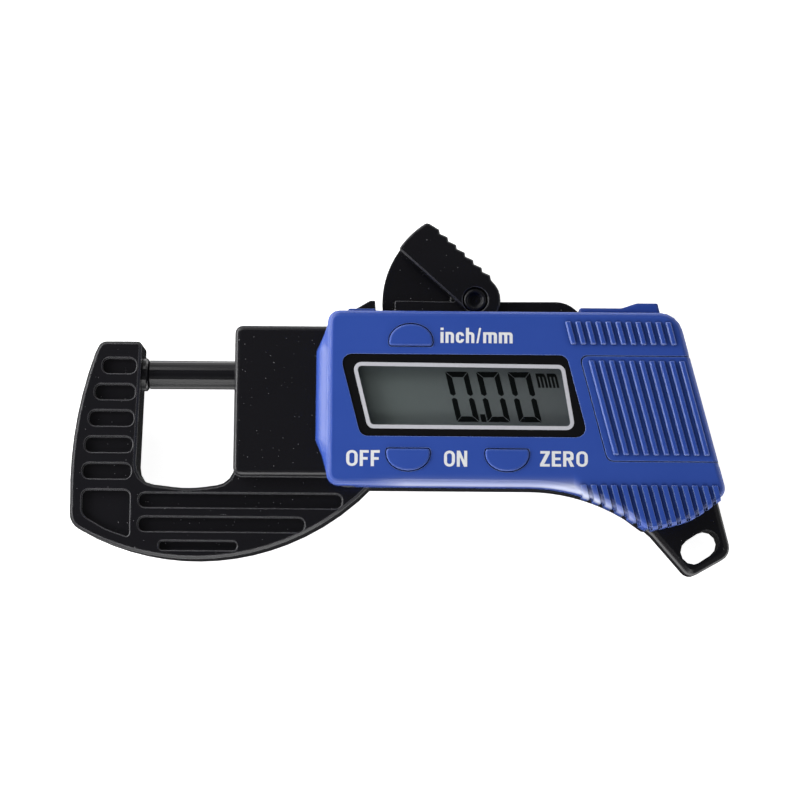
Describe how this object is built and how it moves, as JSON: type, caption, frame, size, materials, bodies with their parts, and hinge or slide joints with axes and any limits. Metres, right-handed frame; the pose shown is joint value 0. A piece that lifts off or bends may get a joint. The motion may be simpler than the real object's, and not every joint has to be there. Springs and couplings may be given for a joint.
{
  "type": "digital thickness gauge",
  "caption": "Hand-held digital thickness gauge: C-frame with anvil, sprung spindle drawn back by a thumb lever, slim display pod with buttons, battery door and lanyard loop.",
  "frame": {"origin": "on the flat back, under the middle of the whole gauge's bounding box", "axes": "+X along the spindle from the anvil to the display pod, +Y towards the thumb lever, +Z out of the display"},
  "size_m": [0.1142, 0.0608, 0.017],
  "materials": {
    "black_moulding": "satin moulded black with bright polished edges",
    "blue_shell": "satin moulded blue",
    "black_rod": "black oxide steel, polished",
    "steel": "plain steel",
    "brass": "turned brass",
    "circuit_board": "green solder mask on glass fibre",
    "copper_scale": "copper pattern under clear lacquer",
    "window": "clear window with a printed dark border",
    "display_glass": "grey-green liquid crystal glass",
    "rubber": "dull black rubber",
    "cell": "nickel-plated button cell"
  },
  "bodies": {
    "gauge_body": {"frame": "black_moulding", "anvil": "black_rod", "spindle_bush": "brass", "guide_rod": "steel", "return_spring": "steel", "spring_seat": "steel", "lever_pin": "black_rod", "base_shell": "blue_shell", "front_shell": "blue_shell", "display_lens": "window", "lcd_glass": "display_glass", "zebra_strip_upper": "rubber", "zebra_strip_lower": "rubber", "sensor_board": "circuit_board", "controller_chip": "rubber", "unit_dome": "rubber", "power_dome": "rubber", "zero_dome": "rubber", "battery": "cell", "battery_contact_negative": "steel", "battery_contact_positive": "steel", "housing_screw_1": "steel", "housing_screw_2": "steel", "housing_screw_3": "steel", "housing_screw_4": "steel", "board_screw_1": "steel", "board_screw_2": "steel"},
    "thumb_lever": {"lever": "black_moulding"},
    "spindle_group": {"spindle": "black_rod", "carriage": "black_moulding", "drive_pin": "steel", "scale_strip": "copper_scale"},
    "unit_key": {"unit_button": "blue_shell"},
    "power_key": {"power_button": "blue_shell"},
    "zero_key": {"zero_button": "blue_shell"},
    "door": {"battery_door": "blue_shell"}
  },
  "joints": [
    {"name": "lever_press", "type": "hinge", "parent": "gauge_body", "child": "thumb_lever", "pos_m": [0.01264, 0.01695, 0], "axis": [0, 0, 1], "range_deg": [0, 34]},
    {"name": "spindle_slide", "type": "slide", "parent": "gauge_body", "child": "spindle_group", "axis": [1, 0, 0], "range_m": [0, 0.0127], "stiffness_N_per_m": 100, "springref_m": -0.01, "deforming": ["return_spring"]},
    {"name": "unit_press", "type": "slide", "parent": "gauge_body", "child": "unit_key", "axis": [0, 0, -1], "range_m": [0, 0.0005], "stiffness_N_per_m": 400, "springref_m": -0.0005, "deforming": ["unit_dome"]},
    {"name": "power_press", "type": "slide", "parent": "gauge_body", "child": "power_key", "axis": [0, 0, -1], "range_m": [0, 0.0005], "stiffness_N_per_m": 400, "springref_m": -0.0005, "deforming": ["power_dome"]},
    {"name": "zero_press", "type": "slide", "parent": "gauge_body", "child": "zero_key", "axis": [0, 0, -1], "range_m": [0, 0.0005], "stiffness_N_per_m": 400, "springref_m": -0.0005, "deforming": ["zero_dome"]},
    {"name": "battery_door_slide", "type": "slide", "parent": "gauge_body", "child": "door", "axis": [1, 0, 0], "range_m": [0, 0.022]}
  ],
  "couplings": [
    {"joint": "lever_press", "follows": "spindle_slide", "rad_per_m": 46.72}
  ]
}
